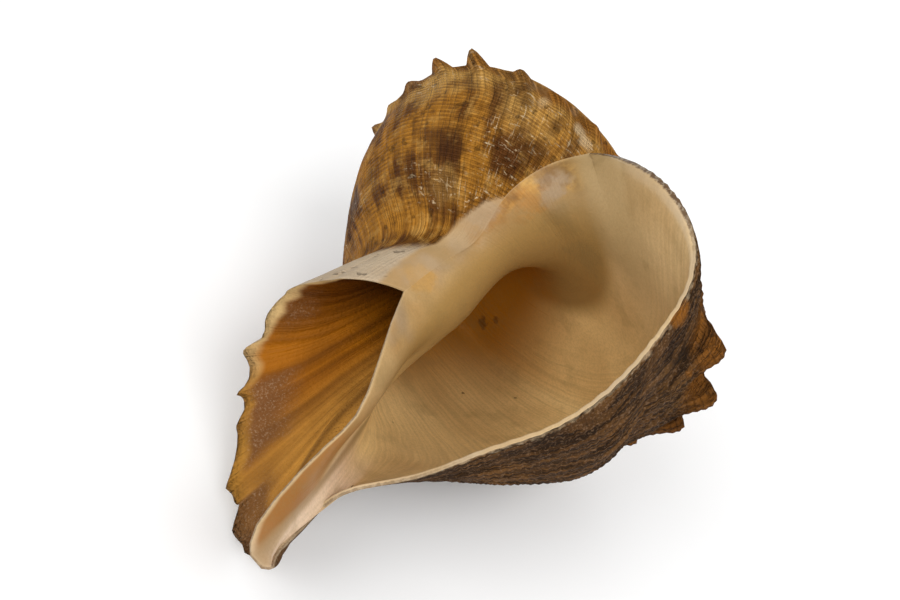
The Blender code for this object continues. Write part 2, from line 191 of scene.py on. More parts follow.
def shoulderRelief(turn, row):  # spines on the shoulder and the folds that run down from them
    spines = list(shoulder["spines"])
    for first, last in shoulder["regular"]:
        spines += [(t, shoulder["height"]) for t in np.arange(first, last, shoulder["spacing"])]
    height = np.zeros(np.broadcast(turn, row).shape)
    onSpine = np.zeros_like(height)
    across = bell(row, shoulder["row"], np.where(row < shoulder["row"], *shoulder["rows"]))
    alongFold = bell(row, shoulder["foldRow"], shoulder["foldRows"])
    toEnd = shoulder["foldReach"] - abs(row - shoulder["foldRow"])
    alongFold *= ease(toEnd / shoulder["foldFade"])
    for tip, spineHeight in spines:
        width = shoulder["lipHalfWidth" if tip < shoulder["lipTurn"] else "halfWidth"]
        near = np.clip(1 - abs(turn - tip) / width, 0, 1)
        height += np.minimum(near * shoulder["bluntness"], 1) * across * spineHeight
        height += ease(near) * alongFold * shoulder["foldHeight"]
        onSpine = np.maximum(onSpine, near)
    sag = shoulder["keelSag"] * across * (1 - ease(onSpine * shoulder["sagEnd"]))
    return height - sag * ease(turn / shoulder["sagTurns"])


# low spiral rib above the base near the lip: row and height
lowRib = {"rows": [3.1, 3.5, 3.8, 4.2, 4.45, 4.9, 5.4, 6.0], "turns": (15, 60, 40),
          "heights": [0, -0.008, -0.001, 0.010, 0.013, 0.009, 0.006, 0]}


def whorlRelief(turn, row):  # the inner surface of the mouth follows these too
    waist = shoulder["waist"] * within(turn, shoulder["waistTurns"])
    waist = waist * bell(row, shoulder["waistRow"], shoulder["waistRows"])
    rib = np.interp(row, lowRib["rows"], lowRib["heights"]) * within(turn, lowRib["turns"])
    return rib - waist


# broken edge of the crest that older canal ends left: turn and height
crestEdge = {
    "heights": [
        (66, 0), (70, 0.2), (76, 0.1), (84, 0), (88, 0.25), (92, 0.5), (95.5, 0.65), (97.5, 0.1),
        (99.5, -0.9), (101.5, -0.5), (104, -0.2), (108, 0), (112, 0.5), (114.5, 0.85), (118, 0.25),
        (122, -0.1), (128, -0.2), (134, -0.05), (138, 0.25), (141, 0), (144, -0.3), (149, -0.05),
        (151.5, 0.3), (153.3, 0.85), (155.5, 0.1), (159, -0.25), (164, -0.15), (168, 0.2),
        (171, 0.65), (173.5, 0.7), (175.5, 0.1), (177, -0.6), (182, -0.65), (188, -0.2),
        (193, 0), (203, 0.05), (208, 0), (211, 0.2), (215, 0.3), (222, 0.2), (231, 0), (238, 0.15),
        (243, 0), (251, 0.2), (256, 0), (270, 0.1), (285, 0), (306, 0.4), (315, 0), (330, 0.4),
        (339, 0), (352, 0.4), (362, 0), (376, 0.4), (386, 0), (400, 0.4), (410, 0)],
    "outward": 0.022,
    "downward": 0.020,
    "rows": 0.35,
    "rowsOfFunnel": 5.0,
}


def lamellae(turn, beside):  # height of the crest's edge at some rows beside the crest
    turns, heights = zip(*crestEdge["heights"])
    height = np.interp(turn, turns, heights) * bell(beside, 0, crestEdge["rows"])
    return height[..., None] * (crestEdge["outward"], crestEdge["downward"], 0)


canalTip = {"width": 0.014, "power": 5, "turns": 25.0, "row": 8, "depth": 0.25}


def tipWidth(turn, toTip):  # rounds the tip of the canal
    bulge = np.sin(math.pi * np.clip(toTip, 0, 1) ** canalTip["power"])
    return canalTip["width"] * bulge * (1 - ease(turn / canalTip["turns"]))


def blended(turn, settledTurn, young, settled, place, anchor, nearCrest):
    share = ease(turn / settledTurn)[..., None]
    made = (1 - share) * curveThrough(young, place) + share * curveThrough(settled, place)
    anchor = (1 - share) * young[anchor] + share * settled[anchor]
    nearCrest = np.clip(nearCrest, 0, 1)[..., None] ** 2
    return made + nearCrest * (crestSection(turn) - anchor)


def outerSection(turn, row, knobs=1.0):
    turn, row = np.broadcast_arrays(np.asarray(turn, float), np.asarray(row, float))
    outer = blended(turn, growthRule["settledTurn"], lipSection, oldSection, row, 9,
                    (row - growthRule["crestStart"]) / growthRule["crestRows"])
    first, last = neck["rows"]
    drawnIn = ease((row - first) / neck["fade"]) * ease((last - row) / neck["fade"])
    outer[..., 0] += tipWidth(turn, row - canalTip["row"]) - neckDepth(turn) * drawnIn
    outer[..., 0] += whorlRelief(turn, row) + shoulderRelief(turn, row) * knobs
    return outer + lamellae(turn, 9 - row) * knobs


def funnelSection(turn, depth):
    turn, depth = np.broadcast_arrays(np.asarray(turn, float), np.asarray(depth, float))
    inner = blended(turn, growthRule["settledFunnelTurn"], innerLip, oldFunnel,
                    depth * (len(innerLip) - 1), 0, 1 - depth / growthRule["crestDepth"])
    drawnIn = ease(depth / neck["funnelRise"] + neck["funnelStart"])
    drawnIn *= ease((1 - depth) / neck["funnelFade"]) * neck["funnelShare"]
    inner[..., 0] -= neckDepth(turn) * drawnIn + tipWidth(turn, 1 - depth / canalTip["depth"])
    return inner + lamellae(turn, depth * crestEdge["rowsOfFunnel"])


def callusTurn(row):  # where the callus starts on each row of the covered whorl
    across = (np.asarray(row, float) - 3) / 6
    spread = growthRule["callusSpread"] * np.sin(math.pi * across)
    opening = growthRule["coveredTurn"] - growthRule["crestTurn"]
    return growthRule["coveredTurn"] - opening * across - spread


# how finely each part of the surface is sampled
sampling = {
    "columns": 208,
    "spireTurns": 1420.0,
    "spireRowStep": 4,
    "apexHeight": 0.0015,
    "cordsPerRow": 9,
    "samplesPerCord": 4,
    "canalRows": 44,
    "funnelTurns": 542.0,
    "funnelDepths": 12,
    "cavityTurn": 340.0,
    "cavityColumns": 44,
    "cavityPower": 1.5,  # columns lie closer towards the lip
    "rimSteps": 4,
}

cordStep = 1 / (sampling["cordsPerRow"] * sampling["samplesPerCord"])
shoulderRows = np.arange(0, 3 + cordStep / 2, cordStep)
sideRows = np.concatenate([np.arange(3 + cordStep, 6 + cordStep / 2, cordStep),
                           np.linspace(6, 9, sampling["canalRows"] + 1)[1:]])
funnelDepths = np.linspace(0, 1, sampling["funnelDepths"] + 1)


wall = {
    "lip": 0.007,
    "rampLip": 0.006,  # the rim is thicker on the ramp
    "rampRow": 1.0,
    "rampRows": 0.7,
    "inside": 0.026,
    "innerLip": 0.005,
    "columella": 0.012,
    "callus": 0.007,
    "canal": 0.008,
    "canalStart": 6.2,
    "canalFade": 1.2,
    "shoulder": 0.012,  # the wall is thicker under the knobs
    "shoulderRows": 0.9,
    "shoulderTurns": (8, 50, 40),
    "thickeningTurn": 40.0,
    "share": 0.20,  # the most a wall takes of the room between facing walls
    "lipStep": 4,  # that room is measured to every fourth or third point
    "columellaStep": 3,
    "thinnest": 0.003,
    "canalClosingTurn": 70.0,
    "closedCanalRow": 7.2,
    "closedCanalDepth": 0.40,
    "fillingTurn": 12.0,
    "filledRampRow": 2.0,
    "filledSideRow": 5.4,
    "filletBend": 0.55,
    "canalRow": 7.9,  # the canal's end is rounded past this row
    "innerPoints": 3,
}


def mouthLoop(turn):  # the mouth's outline at each turn, and the wall of each point
    turn = np.asarray(turn, float)[:, None]
    closed = ease(turn / wall["canalClosingTurn"])
    rows = np.concatenate([shoulderRows, sideRows])
    depths = funnelDepths[1:]
    covered = sideRows[-2::-1]
    lastRow = 9 - (9 - wall["closedCanalRow"]) * closed
    firstDepth = wall["closedCanalDepth"] * closed
    outer = placeInSpace(turn, outerSection(turn, rows * lastRow / 9, 0.0))
    depth = firstDepth + (1 - firstDepth) * depths
    inner = placeInSpace(turn, funnelSection(turn, depth))
    older = turn + callusTurn(covered)
    callus = placeInSpace(older, outerSection(older, covered, 0.0))
    side = np.repeat([0, 1, 2], [len(rows), len(depths), len(covered)])
    around = np.concatenate([rows, 9 + depths, 10 + (9 - covered)])
    loop = np.concatenate([outer, inner, callus], axis=1)
    return fillMouthCorners(loop, turn, side, covered), side, around


def roundCorner(loop, corner, bend, rounded):
    across = np.linspace(0, 1, len(corner))[None, :, None]
    start, end = loop[:, corner[:1]], loop[:, corner[-1:]]
    bend = bend * wall["filletBend"] + (start + end) * (0.5 - wall["filletBend"] / 2)
    parabola = (1 - across) ** 2 * start + 2 * across * (1 - across) * bend + across ** 2 * end
    loop[:, corner] = (1 - rounded) * loop[:, corner] + rounded * parabola


def fillMouthCorners(loop, turn, side, covered):
    ramp = np.flatnonzero(shoulderRows <= wall["filledRampRow"] + cordStep / 2)
    callus = np.flatnonzero(side == 2)[covered <= wall["filledSideRow"]]
    filled = ease(turn / wall["fillingTurn"])[..., None]
    roundCorner(loop, np.concatenate([callus, ramp]), loop[:, :1], filled)
    firstInner = np.flatnonzero(side == 1)[0]
    canalPoints = int((sideRows > wall["canalRow"]).sum())
    canal = np.arange(firstInner - canalPoints, firstInner + wall["innerPoints"])
    canalEnd = (loop[:, firstInner - 1:firstInner] + loop[:, firstInner:firstInner + 1]) / 2
    roundCorner(loop, canal, canalEnd, ease(turn / wall["canalClosingTurn"])[..., None])
    return loop


def wallOffset(turn, loop, side, around):
    grown = ease(turn / wall["thickeningTurn"])[:, None]
    underShoulder = bell(around, shoulder["row"], wall["shoulderRows"])
    underShoulder = underShoulder * within(turn, wall["shoulderTurns"])[:, None]
    size = sizeAt(turn)[:, None]
    atLip = np.array([wall["lip"], wall["innerLip"], 0])[side]
    onRamp = bell(around, wall["rampRow"], wall["rampRows"]) * (side == 0)
    atLip = atLip + wall["rampLip"] * onRamp
    inside = np.array([wall["inside"], wall["columella"], wall["callus"]])[side]
    canal = ease((around - wall["canalStart"]) / wall["canalFade"]) * (side == 0)
    inside = inside + (wall["canal"] - inside) * canal
    offset = (atLip + (inside - atLip) * grown + wall["shoulder"] * underShoulder) * size
    room = np.empty(loop.shape[:2])
    for near, far, step in ((side == 0, side > 0, wall["columellaStep"]),
                            (side > 0, side == 0, wall["lipStep"])):
        facing = loop[:, far][:, ::step]
        for i in range(len(loop)):
            away = np.linalg.norm(loop[i, near][:, None] - facing[i][None], axis=-1)
            room[i, near] = away.min(axis=1)
    return np.minimum(offset, wall["share"] * room + wall["thinnest"] * size)


# glaze rounds the inside off: first the mouth's corner, then the whole, last the corner again
rounding = {
    "strength": 0.5,
    "cornerRows": 1.5,
    "cornerTurn": 120.0,
    "cornerRise": 3.0,
    "cornerPasses": 20,
    "first": dict(times=8, step=4, lengthwise=0.0),
    "whole": dict(times=300, step=1, lengthwise=0.5),
    "second": dict(times=10, step=1, lengthwise=0.5),
    "last": dict(times=30, step=3, lengthwise=0.3),
    "rise": 8.0,
    "innerLip": (9.7, 1.0),  # row and reach of the thin edge that keeps its form
    "lastInnerLip": (9.8, 0.6),
    "neck": (7.1, 1.1),
    "neckTurns": 100.0,
    "leastWall": 0.75,  # share of the wall that is always left
}


def cavityRings(turns):
    loop, side, around = mouthLoop(turns)
    older, _, _ = mouthLoop(turns + 1)
    along = np.roll(loop, -2, axis=1) - np.roll(loop, 2, axis=1)
    inward = np.cross(older - loop, along)
    inward /= np.linalg.norm(inward, axis=-1, keepdims=True)
    offset = wallOffset(turns, loop, side, around)
    first = loop + inward * offset[..., None]
    least = rounding["leastWall"] * offset
    strength = rounding["strength"]
    atCorner = bell(np.minimum(around, 16 - around), 0, rounding["cornerRows"])
    cornerShare = strength * ease(turns / rounding["cornerRise"])[:, None] * atCorner
    near = turns < rounding["cornerTurn"]
    rings = first.copy()
    for _ in range(rounding["cornerPasses"]):
        rings[near] = smoothed(rings[near], turns[near], cornerShare[near], **rounding["first"])
        rings[near] = heldIn(rings[near], loop[near], inward[near], least[near])
    atNeck = bell(around, *rounding["neck"]) * (1 - ease(turns / rounding["neckTurns"])[:, None])
    share = strength * ease(turns / rounding["rise"])[:, None] * (1 - atCorner * near[:, None])
    notThin = 1 - bell(around, *rounding["innerLip"])
    rings = smoothed(rings, turns, share * notThin * (1 - atNeck), **rounding["whole"])
    rings = heldIn(rings, loop, inward, least)
    notThin = 1 - bell(around, *rounding["lastInnerLip"])
    rings = smoothed(rings, turns, share * notThin, **rounding["second"])
    rings = smoothed(rings, turns, cornerShare, **rounding["last"])
    rings[0] = first[0]
    return rings, around


def heldIn(rings, loop, inward, least):  # at least this far from the outer surface
    missing = np.maximum(least - ((rings - loop) * inward).sum(axis=-1), 0)
    return rings + inward * missing[..., None]


def smoothed(rings, turns, share, times, step, lengthwise):
    sections = sectionOf(turns[:, None], rings)
    share = share[..., None]
    for _ in range(times):
        beside = (np.roll(sections, step, axis=1) + np.roll(sections, -step, axis=1)) / 2
        sections = sections + share * (beside - sections)
        along = sections.copy()
        along[1:-1] = (sections[:-2] + sections[2:]) / 2
        sections[1:-1] += lengthwise * share[1:-1] * (along[1:-1] - sections[1:-1])
    return placeInSpace(turns[:, None], sections)


class Surface:  # points, faces and growth coordinates of the closed mesh
    def __init__(self):
        self.turns, self.rows, self.sections, self.free = [], [], [], []
        self.faces, self.corners, self.kinds = [], [], []

    def add(self, turn, row, section, free=0.0):
        section = np.asarray(section, float).reshape(-1, 3)
        first = len(self.turns)
        self.turns += list(np.broadcast_to(turn, len(section)))
        self.rows += list(np.broadcast_to(row, len(section)))
        self.free += list(np.broadcast_to(free, len(section)))
        self.sections += [tuple(point) for point in section]
        return list(range(first, len(self.turns)))

    def inSpace(self, ids):
        return placeInSpace(np.array([self.turns[i] for i in ids]),
                            np.array([self.sections[i] for i in ids]))

    def join(self, left, right, leftGrowth, rightGrowth, kind):
        for i in range(len(left) - 1):
            corners = [(left[i], leftGrowth[i]), (left[i + 1], leftGrowth[i + 1]),
                       (right[i + 1], rightGrowth[i + 1]), (right[i], rightGrowth[i])]
            face = [c for n, c in enumerate(corners) if c[0] != corners[n - 1][0]]
            if len(face) > 2:
                self.faces.append([c[0] for c in face])
                self.corners += [c[1] for c in face]
                self.kinds.append(kind)

    def close(self, edge, growth, tip, kind):
        point = self.add(*tip)[0]
        for i in range(len(edge)):
            after = (i + 1) % len(edge)
            if edge[i] != edge[after]:
                self.faces.append([edge[i], edge[after], point])
                self.corners += [growth[i], growth[after], tip[:2]]
                self.kinds.append(kind)


# the glaze goes on over the older whorl this many degrees past the thick callus, by row
glazeEdge = {"rows": [5.15, 5.65, 6.1, 6.55, 7.15, 7.9, 8.45, 9.0],
             "turns": [0, 4, 11.5, 22, 30, 28, 25, 20]}


def glazeReach(row):  # turns by which a thin glaze goes on past the callus, below 0
    return -np.interp(row, glazeEdge["rows"], glazeEdge["turns"])


# how far beside its seams the surface keeps free of relief, in rows, turns and depths
seam = {
    "sutureRows": 0.25,
    "glazeTurns": 5.0,
    "crestRows": 0.3,
    "funnelDepth": 0.2,
    "funnelTurns": (25, 40),
}


def growthAt(turn, rows):
    return list(zip(np.broadcast_to(turn, len(rows)).tolist(), np.asarray(rows).tolist()))


def buildOuter(surface):
    columns = sampling["columns"]
    step = growthRule["coveredTurn"] / columns
    count = int(sampling["spireTurns"] / step)
    strip = [None] * (count + 1)
    free = ease(shoulderRows / seam["sutureRows"])
    for i in range(count, -1, -1):
        turn = i * step
        section = outerSection(turn, shoulderRows)
        coarse = sampling["spireRowStep"] if i > columns else 1
        ids = {0: strip[i + columns][-1]} if i + columns <= count else {}
        strip[i] = []
        for k in range(len(shoulderRows)):
            kept = min(round(k / coarse) * coarse, len(shoulderRows) - 1)
            if kept not in ids:
                ids[kept] = surface.add(turn, shoulderRows[kept], section[kept], free[kept])[0]
            strip[i].append(ids[kept])
    for i in range(count):
        surface.join(strip[i], strip[i + 1], growthAt(i * step, shoulderRows),
                     growthAt((i + 1) * step, shoulderRows), 0)
    openEdge = [strip[i][0] for i in range(count - columns, count)]
    edge = openEdge + list(dict.fromkeys(strip[-1][:-1]))
    last = sampling["spireTurns"]
    apex = sectionOf(last, np.array([0, 0, -sampling["apexHeight"]]))
    surface.close(edge, [(last, 0.0)] * len(edge), (last, 0.0, apex), 0)
    side = []
    for i in range(columns + 1):
        turns = callusTurn(sideRows) * i / columns
        toGlaze = callusTurn(sideRows) + glazeReach(sideRows) - turns
        free = ease(toGlaze / seam["glazeTurns"]) * ease((9 - sideRows) / seam["crestRows"])
        ids = surface.add(turns, sideRows, outerSection(turns, sideRows), free)
        side.append(([strip[i][-1]] + ids,
                     [(i * step, 3.0)] + list(zip(turns.tolist(), sideRows.tolist()))))
    for i in range(columns):
        surface.join(side[i][0], side[i + 1][0], side[i][1], side[i + 1][1], 0)
    lip = strip[0] + side[0][0][1:]
    return lip, [column[0][-1] for column in side], side[-1][0]


def buildFunnel(surface, crest):
    columns = sampling["columns"]
    step = growthRule["crestTurn"] / columns
    crest = list(crest)
    count = int(sampling["funnelTurns"] / step)
    made = []
    rows = 9 + funnelDepths
    between = funnelDepths[1:-1]
    freeTurn, fade = seam["funnelTurns"]
    for i in range(count + 1):
        turn = i * step
        free = ease(np.minimum(between, 1 - between) / seam["funnelDepth"])
        free = free * ease((turn - freeTurn) / fade)
        inner = surface.add(turn, rows[1:-1], funnelSection(turn, between), free)
        if i == 0:
            end = crest[columns]
        else:
            older = turn + growthRule["crestTurn"]
            end = surface.add(older, 9.0, outerSection(older, 9.0))[0]
            crest.append(end)
        made.append([crest[i]] + inner + [end])
    for i in range(count):
        surface.join(made[i], made[i + 1], growthAt(i * step, rows),
                     growthAt((i + 1) * step, rows), 0)
    openEdge = [made[i][-1] for i in range(count, count - columns, -1)]
    edge = openEdge + made[-1][:-1]
    last = count * step
    middle = sectionOf(last, surface.inSpace(edge).mean(axis=0))
    surface.close(edge, [(last, 10.0)] * len(edge), (last, 10.0, middle), 0)
    return made[0]


def buildCavity(surface, lip, innerEdge, callusEdge):
    share = np.arange(sampling["cavityColumns"] + 1) / sampling["cavityColumns"]
    turns = sampling["cavityTurn"] * share ** sampling["cavityPower"]
    rings, around = cavityRings(turns)
    free = len(lip) + len(innerEdge) - 2
    rim = lip + innerEdge[1:]
    covered = callusEdge[-2:0:-1]
    inner = rings[0, 1:free]
    outer = surface.inSpace(rim[1:-1])
    previous, growth = rim, growthAt(-1.0, around[:free + 1])  # turns below 0 cross the rim
    for k in range(1, sampling["rimSteps"] + 1):
        across = k / sampling["rimSteps"]
        points = outer + (inner - outer) * across
        made = surface.add(0.0, around[1:free], sectionOf(0.0, points))
        current = [rim[0]] + made + [rim[-1]]
        older = growthAt(across - 1, around[:free + 1])
        surface.join(current, previous, older, growth, 1)
        previous, growth = current, older
    previous = previous + covered
    growth = growthAt(0.0, around)
    for turn, ring in zip(turns[1:], rings[1:]):
        current = surface.add(turn, around, sectionOf(turn, ring))
        older = growthAt(turn, around)
        surface.join(current + current[:1], previous + previous[:1],
                     older + [(turn, 16.0)], growth + [(turn, 16.0)], 1)
        previous, growth = current, older
    middle = sectionOf(turns[-1], rings[-1].mean(axis=0))
    surface.close(previous[::-1], growth[::-1], (turns[-1], 5.0, middle), 1)


class Wire:  # a node's output that sums can be written with
    def __init__(self, tree, socket):
        self.tree, self.socket = tree, socket

    def __add__(self, other):
        return maths("ADD", self, other)

    def __sub__(self, other):
        return maths("SUBTRACT", self, other)

    def __rsub__(self, other):
        return maths("SUBTRACT", other, self)

    def __mul__(self, other):
        return maths("MULTIPLY", self, other)

    def __abs__(self):
        return maths("ABSOLUTE", self)

    __radd__ = __add__
    __rmul__ = __mul__


def feed(node, inputs):  # links the wires and sets the plain values
    for name, value in inputs.items():
        if isinstance(value, Wire):
            value.tree.links.new(value.socket, node.inputs[name])
        else:
            node.inputs[name].default_value = value


def put(tree, kind, inputs, output=0, **settings):
    node = tree.nodes.new(kind)
    for name, value in settings.items():
        setattr(node, name, value)
    feed(node, inputs)
    return Wire(tree, node.outputs[output])


def treeOf(values):
    return next(value.tree for value in values if isinstance(value, Wire))


def maths(operation, *values):
    return put(treeOf(values), "ShaderNodeMath", dict(enumerate(values)), operation=operation)


def joined(*values):
    return put(treeOf(values), "ShaderNodeCombineXYZ", dict(zip("XYZ", values)))


def parted(vector):
    node = vector.tree.nodes.new("ShaderNodeSeparateXYZ")
    feed(node, {0: vector})
    return [Wire(vector.tree, socket) for socket in node.outputs]


def rise(value, low, high):  # 0 at low and 1 at high, which may be the other way round
    return put(value.tree, "ShaderNodeMapRange",
               {"Value": value, "From Min": low, "From Max": high}, interpolation_type="SMOOTHSTEP")


def noise(vector, scale=1.0, detail=2.0, roughness=0.5):
    return put(vector.tree, "ShaderNodeTexNoise",
               {"Vector": vector, "Scale": scale, "Detail": detail, "Roughness": roughness})


def growthNoise(*place):
    return noise(joined(*place), detail=3.0, roughness=0.6)


def wave(value, perUnit):
    return maths("COSINE", value * (2 * math.pi * perUnit))


def newGroup(name, kind, inputs, outputs):  # a socket is told by its value or by its type's name
    tree = bpy.data.node_groups.new(name, kind)
    for direction, sockets in (("INPUT", inputs), ("OUTPUT", outputs)):
        for label, value in sockets.items():
            plain = {float: "Float", int: "Int"}.get(type(value))
            item = tree.interface.new_socket(label, in_out=direction,
                                             socket_type="NodeSocket" + (plain or value))
            if plain:
                item.default_value = value
    source = tree.nodes.new("NodeGroupInput")
    result = tree.nodes.new("NodeGroupOutput")
    return tree, {s.name: Wire(tree, s) for s in source.outputs if s.name}, result


def use(tree, group, inputs):  # a group placed in a tree, with its outputs by name
    node = tree.nodes.new(tree.bl_idname.replace("Tree", "Group"))
    node.node_tree = group
    feed(node, inputs)
    return {s.name: Wire(tree, s) for s in node.outputs}


# how far the surface stands out, in lengths of the whorl's own size
relief = {
    "Cord Height": 0.0011,
    "Cords Per Row": 9.0,
    "Wrinkle Height": 0.0040,  # growth wrinkles on the whorls
    "Crease Height": 0.0055,  # deep creases just behind the lip
    "Rim Wave": 0.14,  # degrees by which the rim of the lip waves
    "Lining Swell": 0.0016,
    "Seed": 4,
}


def coilTree():
    inputs = {"Geometry": "Geometry", "Whorl Growth": 2.5, "Shell Unit": 0.1, **relief,
              "Outside": "Material", "Lining": "Material"}
    tree, given, result = newGroup("coilShell", "GeometryNodeTree", inputs,
                                   {"Geometry": "Geometry"})

    def stored(name, kind="FLOAT"):
        return put(tree, "GeometryNodeInputNamedAttribute", {"Name": name}, data_type=kind)

    def changed(kind, geometry, inputs):
        return put(tree, "GeometryNode" + kind, {"Geometry": geometry, **inputs})

    turn, row, free, inner = [stored(name) for name in ("turnAt", "rowAt", "free", "inner")]
    radius, drop, ahead = parted(put(tree, "GeometryNodeInputPosition", {}))
    size = maths("POWER", given["Whorl Growth"], turn * (-1 / 360)) * given["Shell Unit"]
    onLip = maths("EXPONENT", turn * turn * (-1 / 16)) * rise(row, 0.1, 0.8) * rise(row, 8.8, 8)
    seed = given["Seed"] * 17.3
    rough = noise(joined(row * 4.3, seed, 0), detail=3) - 0.5
    ahead = ahead + onLip * given["Rim Wave"] * (wave(row, 4.5) * 0.6 + rough * 4)
    angle = maths("RADIANS", turn - ahead)
    coiled = joined(radius * size * maths("COSINE", angle), radius * size * maths("SINE", angle),
                    drop * size * -1)
    shaped = changed("SetPosition", given["Geometry"], {"Position": coiled})

    cords = wave(row, given["Cords Per Row"]) * rise(row, 6.6, 6)
    worn = noise(joined(turn * 0.03, row * 0.8, seed))
    cords = cords * given["Cord Height"] * rise(worn, 0.3, 0.6)
    lines = growthNoise(turn * 0.1, row * 0.22, seed) - 0.5
    wrinkles = lines * 2 * given["Wrinkle Height"] * (rise(turn, 3, 80) * 0.8 + 0.2)
    slits = growthNoise(turn * 0.17, row * 0.5, seed + 5) - 0.5
    slits = rise(abs(slits), 0, 0.09) - 1
    behindLip = rise(turn, 1.5, 12) * rise(turn, 78, 40)
    creases = slits * given["Crease Height"] * behindLip * rise(row, 7, 5.8)
    outward = (cords + wrinkles + creases) * free
    spot = put(tree, "GeometryNodeInputPosition", {})
    swell = (noise(spot, 70, 1) - 0.5) * 2 * given["Lining Swell"]
    outward = (outward + swell * inner) * size
    normal = put(tree, "GeometryNodeInputNormal", {})
    offset = put(tree, "ShaderNodeVectorMath", {0: normal, "Scale": outward}, operation="SCALE")
    shaped = changed("SetPosition", shaped, {"Offset": offset})
    shaped = changed("RealizeInstances", shaped, {})
    shaped = changed("SetMaterial", shaped, {"Material": given["Outside"]})
    shaped = changed("SetMaterial", shaped, {"Selection": stored("lining", "BOOLEAN"),
                                             "Material": given["Lining"]})
    feed(result, {"Geometry": shaped})
    return tree


def linear(colour):  # colours are written as they look on a screen, 0 to 255
    share = np.array(colour) / 255
    value = np.where(share < 0.04045, share / 12.92, ((share + 0.055) / 1.055) ** 2.4)
    return (*value.tolist(), 1)


def mixed(factor, first, second):  # a colour is a wire or the name of a tone
    values = {0: factor, 6: first, 7: second}
    values = {k: linear(tones[v]) if isinstance(v, str) else v for k, v in values.items()}
    return put(factor.tree, "ShaderNodeMix", values, 2, data_type="RGBA")


def layered(colour, *layers):  # colours laid over one another, each with its share
    for share, tone in layers:
        colour = mixed(share, colour, tone)
    return colour


def patched(colour, position, patches, ragged):  # each patch fades out over its reach
    for place, reach, tone, share in patches:
        place, reach = [value / 1000 for value in place], reach / 1000
        distance = put(position.tree, "ShaderNodeVectorMath", {0: position, 1: place}, 1,
                       operation="DISTANCE") + ragged(reach)
        colour = mixed(rise(distance, reach, reach * 0.4) * share, colour, tone)
    return colour


# colours of the shell, and of the light and shade painted on it, as they look on a screen
tones = {
    "gold": (166, 112, 36), "brown": (90, 52, 14), "line": (76, 42, 10),
    "ochre": (202, 156, 82), "chalk": (212, 188, 150), "umber": (64, 34, 8),
    "lipGrey": (108, 74, 41), "lipBrown": (61, 38, 14), "spine": (145, 89, 26),
    # the near-black tone below is painted shade for creases, pits, lines on the spines and a knob's
    # crevices
    "creviceShade": (20, 11, 4), "fasciole": (186, 168, 142), "fleck": (152, 118, 88),
    "funnel": (170, 102, 10), "funnelDark": (66, 27, 0), "funnelDust": (108, 70, 38),
    "funnelPale": (212, 152, 66), "lamella": (200, 168, 114), "lamellaGold": (176, 124, 48),
    "dustGrain": (184, 156, 124), "cream": (190, 158, 110), "callus": (164, 131, 84),
    "lilac": (160, 138, 112), "tint": (168, 120, 58), "canal": (142, 88, 28),
    "tip": (130, 99, 52), "rim": (190, 166, 132), "rimGrey": (136, 122, 104),
    "buff": (207, 175, 127), "amber": (250, 216, 150), "deep": (170, 106, 6),
    "inner": (165, 131, 77), "tan": (160, 112, 56), "orange": (182, 126, 58),
    "honey": (184, 138, 66), "stain": (70, 40, 14), "pink": (236, 206, 178),
    "thin": (112, 74, 28), "olive": (140, 116, 72),
}


def bandsGroup():  # broad bands and fine lines left by growth
    tree, given, result = newGroup(
        "growthBands", "ShaderNodeTree", {"Turn": 0.0, "Row": 0.0, "Spacing": 8.0, "Seed": 0.0},
        {"Band": "Float", "Line": "Float"})
    row, seed = given["Row"], given["Seed"]
    along = maths("DIVIDE", given["Turn"], given["Spacing"])
    bent = along + noise(joined(row, along * 0.3, seed)) * 0.6
    band = noise(joined(bent, row * 0.12, seed), 1, 3, 0.55)
    line = noise(joined(bent * 4, row * 0.4, seed), 1, 2, 0.6)
    feed(result, {"Band": rise(band, 0.34, 0.66), "Line": rise(line, 0.36, 0.64)})
    return tree


def grainGroup():  # clouds, pits and grain of old shell
    tree, given, result = newGroup("grain", "ShaderNodeTree", {"Position": "Vector"},
                                   {"Cloud": "Float", "Pits": "Float", "Grain": "Float"})
    position = given["Position"]
    feed(result, {"Cloud": rise(noise(position, 110, 4, 0.55), 0.34, 0.66),
                  "Pits": rise(noise(position, 620, 1), 0.66, 0.74),
                  "Grain": noise(position, 1500, 3, 0.6)})
    return tree


# stains and tinted patches: place on the shell and reach in millimetres, tone and strength
patchesOfGlaze = [
    ((-8.3, 32.6, 8.1), 1.4, "stain", 0.7),
    ((-6.3, 33.2, 10.4), 0.8, "stain", 0.6),
    ((7.6, 0.2, 10.4), 0.7, "stain", 0.6),
    ((2.3, 21.9, 3.9), 0.4, "stain", 0.8),
    ((7.3, 29.7, 5.3), 0.4, "stain", 0.7),
    ((-2.4, 13.6, 47.4), 5.2, "tan", 0.6),
    ((-2.7, 10, 42.5), 4, "tan", 0.35),
    ((1.2, 18.9, 52.1), 3.4, "lilac", 0.7),
    ((-1.1, 18.5, 52.4), 2.6, "thin", 0.5),
    ((-3.9, 10.2, 44.3), 4, "lilac", 0.6),
    ((-0.2, 16.4, 48.4), 3, "orange", 0.5),
    ((4.7, 21.6, 48.6), 4.5, "olive", 0.4),
    ((8.6, 25.6, 43.6), 5, "olive", 0.4),
    ((1.8, -2.3, 38), 3.4, "honey", 0.55),
]


